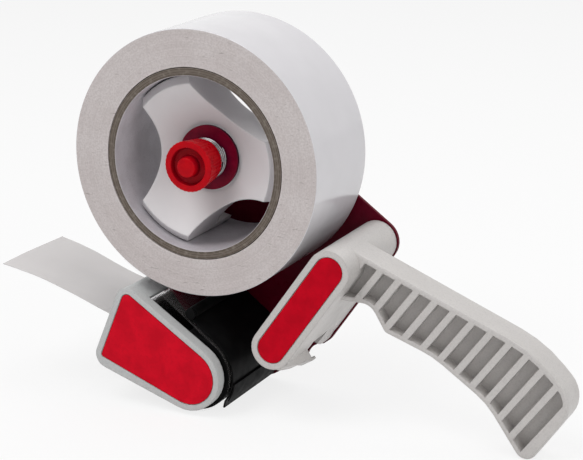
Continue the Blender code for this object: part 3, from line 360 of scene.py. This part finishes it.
def tape_side():
    """The wound edges of the tape: fine rings of unlike shade, with gritty specks and dark nicks."""
    paint = Paint("tape_side", (0.605, 0.555, 0.548), 0.50, Specular_IOR_Level=0.3)
    broad_rings = paint.radius_noise(REEL_AXIS, 420, 3)
    paint.vary_color(paint.spread(broad_rings, 0.38, 0.68, 0, 0.7), (0.53, 0.48, 0.474))
    fine_rings = paint.radius_noise(REEL_AXIS, 2600, 2)
    paint.vary_color(paint.spread(fine_rings, 0.45, 0.75, 0, 0.6), (0.45, 0.40, 0.395))
    paint.vary_color(paint.spread(paint.noise(55, 4), 0.42, 0.72, 0, 0.6), (0.66, 0.62, 0.615))
    paint.vary_color(paint.spread(paint.noise(1250, 3), 0.40, 0.62, 0, 0.55), (0.46, 0.41, 0.40))
    nicks = paint.noise(1, 3, paint.stretched((240, 240, 1900)), 0.6)
    paint.vary_color(paint.spread(nicks, 0.66, 0.74, 0, 0.8), (0.27, 0.235, 0.225))
    paint.relief(paint.radius_noise(REEL_AXIS, 5200, 2), 0.00004, 0.6)
    paint.relief(paint.noise(1300, 3), 0.00003, 0.6)
    return paint.material


def tape_outside():
    """The smooth outer layer, whose film lies a little wavy."""
    paint = Paint("tape_outside", (0.66, 0.645, 0.67), 0.18, Coat_Weight=0.3, Coat_Roughness=0.08)
    paint.vary_color(paint.spread(paint.noise(24, 3), 0.4, 0.7), (0.61, 0.595, 0.62))
    paint.vary_roughness(paint.noise(70, 3), 0.12, 0.24)
    around = paint.stretched((26, 60, 26))
    paint.relief(paint.noise(1, 2, around), 0.0006, 0.35)
    return paint.material


def cardboard():
    """The cut end of the core: plies of board of unlike shade."""
    paint = Paint("cardboard", (0.175, 0.145, 0.122), 0.85, Specular_IOR_Level=0.2)
    paint.vary_color(paint.spread(paint.radius_noise(REEL_AXIS, 2600, 1), 0.44, 0.58), (0.080, 0.064, 0.050))
    paint.vary_color(paint.spread(paint.noise(520, 5), 0.5, 0.75, 0, 0.7), (0.27, 0.235, 0.205))
    paint.relief(paint.noise(1400, 4), 0.00008, 0.7)
    return paint.material


def core_lining():
    """The core's smooth inner ply, faintly mottled and specked."""
    paint = Paint("core_lining", (0.53, 0.505, 0.535), 0.6, Specular_IOR_Level=0.3)
    paint.vary_color(paint.spread(paint.noise(90, 4), 0.4, 0.7), (0.42, 0.395, 0.42))
    paint.vary_color(paint.spread(paint.noise(1500, 3), 0.52, 0.78, 0, 0.6), (0.36, 0.335, 0.355))
    paint.vary_roughness(paint.noise(240, 3), 0.5, 0.7)
    paint.relief(paint.noise(1100, 3), 0.00004, 0.5)
    return paint.material


def black_finish(name, shade, rough_low, rough_high, grain, height):
    paint = Paint(name, (shade, shade, shade * 1.05), (rough_low + rough_high) / 2, Specular_IOR_Level=0.03)
    paint.vary_color(paint.spread(paint.noise(160, 4), 0.45, 0.75), (shade * 1.8, shade * 1.75, shade * 1.8))
    paint.vary_roughness(paint.noise(240, 4), rough_low, rough_high)
    paint.relief(paint.noise(grain, 3), height, 0.6)
    return paint.material


def steel(name, shade, along):
    """Bright metal with drawing marks along one axis."""
    paint = Paint(name, (shade, shade, shade * 1.01), 0.24, 1.0)
    marks = paint.noise(1, 3, paint.stretched(along))
    paint.vary_color(paint.spread(marks, 0.35, 0.7), (shade * 0.8, shade * 0.8, shade * 0.82))
    paint.vary_roughness(marks, 0.16, 0.36)
    paint.relief(marks, 0.000006, 0.5)
    return paint.material


def nylon():
    paint = Paint("nylon", (0.74, 0.73, 0.69), 0.45, Subsurface_Weight=0.15,
                  Subsurface_Radius=(0.002, 0.0018, 0.0015), Subsurface_Scale=1.0)
    paint.vary_color(paint.spread(paint.noise(300, 3), 0.4, 0.7), (0.66, 0.65, 0.61))
    paint.vary_roughness(paint.noise(500, 3), 0.38, 0.55)
    paint.relief(paint.noise(2400, 2), 0.00002, 0.5)
    return paint.material


def film():
    """Thin film: hazy where it is free; inside the nose it is made nearly clear, as painted shade, so that it
    shows as dark as the shaded nose.
    """
    paint = Paint("tape_film", (0.675, 0.645, 0.640), 0.22, Coat_Weight=0.3, Coat_Roughness=0.08)
    paint.vary_color(paint.spread(paint.noise(30, 3), 0.4, 0.7), (0.635, 0.605, 0.600))
    split = paint.nodes.new("ShaderNodeSeparateXYZ")
    paint.links.new(paint.place, split.inputs["Vector"])
    # Painted shade: the film turns almost clear inside the nose, so that the dark there shows instead of lit
    # film
    alpha = paint.spread(split.outputs["X"], FREE_FROM - FADE_OUTSIDE, FREE_FROM + FADE_INSIDE,
                         FREE_ALPHA, SHADE_INSIDE_ALPHA)
    paint.links.new(alpha, paint.shader.inputs["Alpha"])
    paint.relief(paint.noise(1, 2, paint.stretched((70, 30, 70))), 0.0004, 0.4)
    return paint.material


# Film route: roll, roller, slot, free strip
FILM_SHEET = 0.00016
SLOT_FROM_ROLLER = Vector((-0.0395, 0.0199))
STRIP_REACH = 0.0585
STRIP_RISE = 0.0171
STRIP_SHARES = (
    (0.06, 0.09), (0.17, 0.21), (0.31, 0.37), (0.48, 0.56), (0.66, 0.76), (0.84, 0.91), (1.0, 1.0),
)
ROLLER_RADIUS = (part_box("applicator_roller")[1].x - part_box("applicator_roller")[0].x) / 2
CAD_FILM = 0.0003
FILM_OFFSET = FIT_GAP + CAD_FILM / 2
ROLL_CENTRE_2D = Vector((REEL_AXIS.x, REEL_AXIS.z))
ROLLER_CENTRE_2D = Vector((ROLLER_AXIS.x, ROLLER_AXIS.z))
SLOT_2D = ROLLER_CENTRE_2D + SLOT_FROM_ROLLER
FREE_FROM = SLOT_2D.x
ROLLER_STEPS = 48
STRIP_STEPS = 6
FILM_COLUMNS = 12
STRIP_WAVE = 0.0003
WAVES_ALONG = 3
WAVES_ACROSS = 1.4
STRIP_TWIST = 0.0030
TWIST_AXIS_SHARE = 0.15
FADE_OUTSIDE = 0.006
FADE_INSIDE = 0.003
# Opacity of the free strip, and the near-clear opacity inside the nose that stands in for the shade there
FREE_ALPHA = 0.86
SHADE_INSIDE_ALPHA = 0.03


def angle_of(direction):
    return math.atan2(direction.y, direction.x)


def smooth_through(points, steps):
    """A Catmull-Rom curve through every point."""
    curve = []
    for index in range(len(points) - 1):
        before = points[max(index - 1, 0)]
        start, end = points[index], points[index + 1]
        after = points[min(index + 2, len(points) - 1)]
        for step in range(steps):
            t = step / steps
            curve.append(0.5 * (2 * start + (end - before) * t
                                + (2 * before - 5 * start + 4 * end - after) * t ** 2
                                + (3 * start - before - 3 * end + after) * t ** 3))
    curve.append(points[-1])
    return curve


def film_route():
    """Centre line of the film in X and Z, and the share of each point along the free strip."""
    roll_radius = ROLL_RADIUS + FILM_OFFSET
    roller_radius = ROLLER_RADIUS + FILM_OFFSET
    towards_roll = ROLL_CENTRE_2D - ROLLER_CENTRE_2D
    on_roller = angle_of(towards_roll) - math.acos((roll_radius + roller_radius) / towards_roll.length)
    normal = Vector((math.cos(on_roller), math.sin(on_roller)))
    off_roller = angle_of(SLOT_FROM_ROLLER) + math.acos(roller_radius / SLOT_FROM_ROLLER.length) - math.tau
    route = [ROLL_CENTRE_2D - normal * roll_radius]
    for step in range(ROLLER_STEPS + 1):
        angle = on_roller + (off_roller - on_roller) * step / ROLLER_STEPS
        route.append(ROLLER_CENTRE_2D + Vector((math.cos(angle), math.sin(angle))) * roller_radius)
    free = [SLOT_2D]
    free += [SLOT_2D + Vector((-STRIP_REACH * x, STRIP_RISE * z)) for x, z in STRIP_SHARES]
    strip = smooth_through(free, STRIP_STEPS)
    shares = [0.0] * len(route) + [index / (len(strip) - 1) for index in range(len(strip))]
    return route + strip, shares


def tape_tail(finish):
    route, shares = film_route()
    shape = bmesh.new()
    rows = []
    for index, (point, share) in enumerate(zip(route, shares)):
        before = route[max(index - 1, 0)]
        after = route[min(index + 1, len(route) - 1)]
        along = (after - before).normalized()
        normal = Vector((-along.y, along.x))
        row = []
        for column in range(FILM_COLUMNS + 1):
            across = column / FILM_COLUMNS
            wave = STRIP_WAVE * share * math.sin(math.pi * (WAVES_ALONG * share + WAVES_ACROSS * across))
            twist = STRIP_TWIST * math.sin(math.pi * share) * (across - TWIST_AXIS_SHARE)
            place = point + normal * (wave + twist)
            row.append(shape.verts.new((place.x, REEL_AXIS.y + TAPE_WIDTH * across, place.y)))
        rows.append(row)
    for here, there in zip(rows, rows[1:]):
        for column in range(FILM_COLUMNS):
            shape.faces.new((here[column], there[column], there[column + 1], here[column + 1]))
    piece = as_piece("tape_film_strip", shape, "tape_tail", [finish])
    sheet = piece.modifiers.new("film", "SOLIDIFY")
    sheet.thickness = FILM_SHEET
    sheet.offset = 0
    piece.modifiers.move(len(piece.modifiers) - 1, 0)


# Roll of tape on its core
TAPE_EDGE = 0.00035
CORE_WALL = 0.0034
ROLL_FACETS = 256
CORE_FACETS = 192
FACING_SHARE = 0.4


def tape_roll(side, outside, board, lining):
    inner = CORE_RADIUS + FIT_GAP
    turned("wound_tape", rounded_profile([
        (ROLL_RADIUS, TAPE_WIDTH, TAPE_EDGE), (ROLL_RADIUS, 0, TAPE_EDGE),
        (inner, 0, TAPE_EDGE), (inner, TAPE_WIDTH, TAPE_EDGE),
    ]), "tape_winding", [side, outside], ROLL_FACETS, lambda away: away > FACING_SHARE)
    bore = CORE_RADIUS - CORE_WALL
    turned("paper_core", rounded_profile([
        (CORE_RADIUS, TAPE_WIDTH, TAPE_EDGE), (CORE_RADIUS, 0, TAPE_EDGE),
        (bore, 0, TAPE_EDGE), (bore, TAPE_WIDTH, TAPE_EDGE),
    ]), "tape_core", [board, lining], CORE_FACETS, lambda away: away < -FACING_SHARE)


# Brake knob and its knurl
KNOB_RIDGES = 36
KNOB_GROOVE = 0.0004
KNOB_COLUMNS = 6
KNOB_PROUD = 0.0020
KNOB_TAPER = 0.0016
KNOB_RECESS_RADIUS = 0.0082
KNOB_RECESS = 0.0025
KNOB_BOSS = 0.0042
KNOB_BORE = 0.0040
KNOB_BORE_END = 0.0002
KNOB_EDGE = 0.0007
KNOB_FILLET = 0.0006
KNOB_LIP_SHARE = 0.8
BOSS_SLOPE = 0.0005
KNURL_FROM_BACK = 0.0008
KNURL_FROM_FRONT = 0.0014
KNURL_FADE = 0.0012
KNURL_LEAST = 0.35


def brake_knob(finish):
    low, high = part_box("brake_knob")
    length = high.y - low.y
    front_radius = (high.x - low.x) / 2
    bore_depth = high.y - REEL_AXIS.y - KNOB_BORE_END
    front = length - KNOB_PROUD
    corners = rounded_profile([
        (0, bore_depth, 0), (KNOB_BORE, bore_depth, 0), (KNOB_BORE, 0, 0),
        (front_radius - KNOB_TAPER, 0, KNOB_FILLET), (front_radius, front, KNOB_EDGE),
        (KNOB_RECESS_RADIUS, front, KNOB_EDGE * KNOB_LIP_SHARE),
        (KNOB_RECESS_RADIUS - KNOB_FILLET, front - KNOB_RECESS, KNOB_FILLET),
        (KNOB_BOSS + BOSS_SLOPE, front - KNOB_RECESS, KNOB_FILLET),
        (KNOB_BOSS, length, KNOB_EDGE), (0, length, 0),
    ])
    shape = bmesh.new()
    count = KNOB_RIDGES * KNOB_COLUMNS
    rings = []
    for index in range(count):
        angle = math.tau * index / count
        groove = KNOB_GROOVE * (0.5 - 0.5 * math.cos(math.tau * index / KNOB_COLUMNS))
        ring = []
        for radius, depth in corners:
            depth_in = min(depth - KNURL_FROM_BACK, front - KNURL_FROM_FRONT - depth)
            reach = radius
            if radius > KNOB_RECESS_RADIUS + KNOB_FILLET and depth_in > -KNURL_FADE:
                fade = min((depth_in + KNURL_FADE) / KNURL_FADE, 1)
                reach -= groove * max(fade, KNURL_LEAST)
            ring.append(shape.verts.new((REEL_AXIS.x + reach * math.cos(angle), high.y - depth,
                                         REEL_AXIS.z + reach * math.sin(angle))))
        rings.append(ring)
    for index in range(count):
        here, there = rings[index], rings[(index + 1) % count]
        for corner in range(len(corners) - 1):
            shape.faces.new((here[corner], here[corner + 1], there[corner + 1], there[corner]))
    bmesh.ops.remove_doubles(shape, verts=shape.verts, dist=WELD)
    bmesh.ops.dissolve_degenerate(shape, edges=shape.edges, dist=WELD)
    bmesh.ops.recalc_face_normals(shape, faces=shape.faces)
    as_piece("brake_knob_knurled", shape, "brake_knob", [finish], KNOB_SMOOTH_DEG)


# Brake spring
SPRING_TURNS = 2.1
SPRING_WIRE = 0.0010
SPRING_POINTS = 64
WIRE_SIDES = 12


def brake_spring(finish):
    """The helix as one tube; its near end stands at the washer behind the knob."""
    low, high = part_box("brake_spring")
    radius = (high.x - low.x) / 2 - SPRING_WIRE / 2
    first = low.y + SPRING_WIRE / 2
    rise = high.y - low.y - SPRING_WIRE
    shape = bmesh.new()
    count = round(SPRING_TURNS * SPRING_POINTS)
    rings = []
    for index in range(count + 1):
        angle = math.tau * SPRING_TURNS * index / count
        out = Vector((math.cos(angle), 0, math.sin(angle)))
        centre = Vector((REEL_AXIS.x, first + rise * index / count, REEL_AXIS.z)) + out * radius
        ring = []
        for side in range(WIRE_SIDES):
            turn = math.tau * side / WIRE_SIDES
            ring.append(shape.verts.new(centre + (out * math.cos(turn) + Vector((0, math.sin(turn), 0)))
                                        * (SPRING_WIRE / 2)))
        rings.append(ring)
    for here, there in zip(rings, rings[1:]):
        for side in range(WIRE_SIDES):
            after = (side + 1) % WIRE_SIDES
            shape.faces.new((here[side], here[after], there[after], there[side]))
    shape.faces.new(rings[0])
    shape.faces.new(rings[-1])
    bmesh.ops.recalc_face_normals(shape, faces=shape.faces)
    mesh = bpy.data.meshes.new("brake_spring_wire")
    shape.to_mesh(mesh)
    shape.free()
    piece = bpy.data.objects.new("brake_spring_wire", mesh)
    bpy.context.scene.collection.objects.link(piece)
    mesh.materials.append(finish)
    mesh.shade_smooth()
    mesh.set_sharp_from_angle(angle=math.radians(SMOOTH_DEG))
    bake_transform(piece)
    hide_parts("brake_spring")


def camera():
    data = bpy.data.cameras.new("photo_camera")
    data.lens = CAMERA_LENS
    data.sensor_width = CAMERA_SENSOR
    data.sensor_fit = "HORIZONTAL"
    data.clip_start = CAMERA_NEAREST
    data.clip_end = CAMERA_FARTHEST
    holder = bpy.data.objects.new("photo_camera", data)
    holder.location = REEL_AXIS + CAMERA_FROM_REEL
    holder.rotation_euler = (math.radians(90 + CAMERA_PITCH_DEG), 0, math.radians(CAMERA_TURN_DEG))
    bpy.context.scene.collection.objects.link(holder)
    bpy.context.scene.camera = holder


# Lights: place, size and power; each looks at the middle of the object
LOOK_AT = Vector((0, 0, 0.085))
LAMPS = (
    ("key", Vector((-0.50, -0.80, 1.50)), 1.1, 14.5),
    ("fill", Vector((1.35, -0.45, 0.90)), 1.2, 8.0),
    ("top", Vector((0.20, 0.55, 1.40)), 1.0, 5.5),
)
AMBIENT = 0.32
FLOOR_SIZE = 12.0
FLOOR_DROP = 0.0002
FLOOR_GLOW = 0.80
FLOOR_SHADE = 0.92


def lamps():
    for name, where, size, power in LAMPS:
        data = bpy.data.lights.new(name, "AREA")
        data.size = size
        data.energy = power
        lamp = bpy.data.objects.new(name, data)
        lamp.location = where
        lamp.rotation_euler = (where - LOOK_AT).to_track_quat("Z", "Y").to_euler()
        bpy.context.scene.collection.objects.link(lamp)


def seen_directly(nodes, links):
    """1 for camera, mirror and glass rays, which see the background; 0 for light on the object."""
    path = nodes.new("ShaderNodeLightPath")
    total = None
    for name in ("Is Camera Ray", "Is Glossy Ray", "Is Transmission Ray"):
        if total is None:
            total = path.outputs[name]
            continue
        either = nodes.new("ShaderNodeMath")
        either.operation = "MAXIMUM"
        links.new(total, either.inputs[0])
        links.new(path.outputs[name], either.inputs[1])
        total = either.outputs[0]
    return total


def world():
    backdrop = bpy.data.worlds.new("studio")
    bpy.context.scene.world = backdrop
    backdrop.use_nodes = True
    nodes, links = backdrop.node_tree.nodes, backdrop.node_tree.links
    base = nodes["Background"]
    base.inputs["Color"].default_value = (1, 1, 1, 1)
    base.inputs["Strength"].default_value = AMBIENT
    shown = nodes.new("ShaderNodeBackground")
    shown.inputs["Color"].default_value = (1, 1, 1, 1)
    shown.inputs["Strength"].default_value = 1.0
    mix = nodes.new("ShaderNodeMixShader")
    links.new(seen_directly(nodes, links), mix.inputs["Fac"])
    links.new(base.outputs["Background"], mix.inputs[1])
    links.new(shown.outputs["Background"], mix.inputs[2])
    links.new(mix.outputs["Shader"], nodes["World Output"].inputs["Surface"])


def floor():
    material = bpy.data.materials.new("floor")
    material.use_nodes = True
    nodes, links = material.node_tree.nodes, material.node_tree.links
    nodes.remove(nodes["Principled BSDF"])
    surface = nodes.new("ShaderNodeBsdfDiffuse")
    surface.inputs["Color"].default_value = (FLOOR_SHADE, FLOOR_SHADE, FLOOR_SHADE, 1)
    glow = nodes.new("ShaderNodeEmission")
    share = nodes.new("ShaderNodeMath")
    share.operation = "MULTIPLY"
    share.inputs[1].default_value = FLOOR_GLOW
    links.new(seen_directly(nodes, links), share.inputs[0])
    mix = nodes.new("ShaderNodeMixShader")
    links.new(share.outputs[0], mix.inputs["Fac"])
    links.new(surface.outputs["BSDF"], mix.inputs[1])
    links.new(glow.outputs["Emission"], mix.inputs[2])
    links.new(mix.outputs["Shader"], nodes["Material Output"].inputs["Surface"])
    bpy.ops.mesh.primitive_plane_add(size=FLOOR_SIZE, location=(0, 0, -FLOOR_DROP))
    plane = bpy.context.object
    plane.name = "floor"
    plane.data.materials.append(material)


bpy.context.scene.view_settings.view_transform = "Standard"
camera()
lamps()
world()
floor()

STEEL_TURNED = steel("steel_turned", 0.66, (400, 5200, 400))
STEEL_SHEET = steel("steel_sheet", 0.62, (900, 120, 900))
BLACK = black_finish("black_moulding", 0.0045, 0.30, 0.48, 1600, 0.00002)
RUBBER = black_finish("black_rubber", 0.0045, 0.45, 0.62, 2600, 0.00002)
NYLON = nylon()
SPRING_STEEL = steel("steel_wire", 0.36, (5200, 400, 5200))

for node, finish, width in (
    ("grip_housing", grey_plastic("grey_grip", (0.580, 0.556, 0.540)), 0.00045),
    ("nose_guard", grey_plastic("grey_nose", (0.535, 0.545, 0.542)), 0.00050),
    ("grip_label", red_label("red_label_grip", (0.56, 0.0016, 0.014)), 0.00010),
    # The nose label's red is painted lighter than the grip label's, as painted light on the nose
    ("nose_label", red_label("red_label_nose", (0.67, 0.0045, 0.020)), 0.00010),
    ("side_plate", maroon_paint(), 0.00035),
    ("reel_hub", hub_plastic(), 0.00085),
    ("blade_holder", BLACK, 0.00030),
    ("cutting_blade", STEEL_SHEET, 0.00008),
    ("tape_flap", BLACK, 0.00015),
    ("flap_wiper", RUBBER, 0.00010),
    ("applicator_roller", RUBBER, 0.00040),
    ("roller_core", BLACK, 0.00025),
    ("brake_washer", glossy_red("dark_red", (0.17, 0.002, 0.018), (0.11, 0.0015, 0.013)), 0.00025),
    ("spring_seat_washer", SPRING_STEEL, 0.00010),
    ("hub_stud", STEEL_TURNED, 0.00020),
    ("hub_rear_washer", NYLON, 0.00015),
    ("roller_axle", STEEL_TURNED, 0.00025),
    ("roller_washer_near", NYLON, 0.00010),
    ("roller_washer_far", NYLON, 0.00010),
    ("flap_pin", BLACK, 0.00020),
):
    softened(node, finish, width)
for node in frame["nodes"]:
    if "_screw_" in node:
        softened(node, STEEL_TURNED, 0.00010)
tape_roll(tape_side(), tape_outside(), cardboard(), core_lining())
tape_tail(film())
brake_knob(glossy_red("knob_red", (0.50, 0.0012, 0.0065), (0.39, 0.0008, 0.0075)))
brake_spring(SPRING_STEEL)
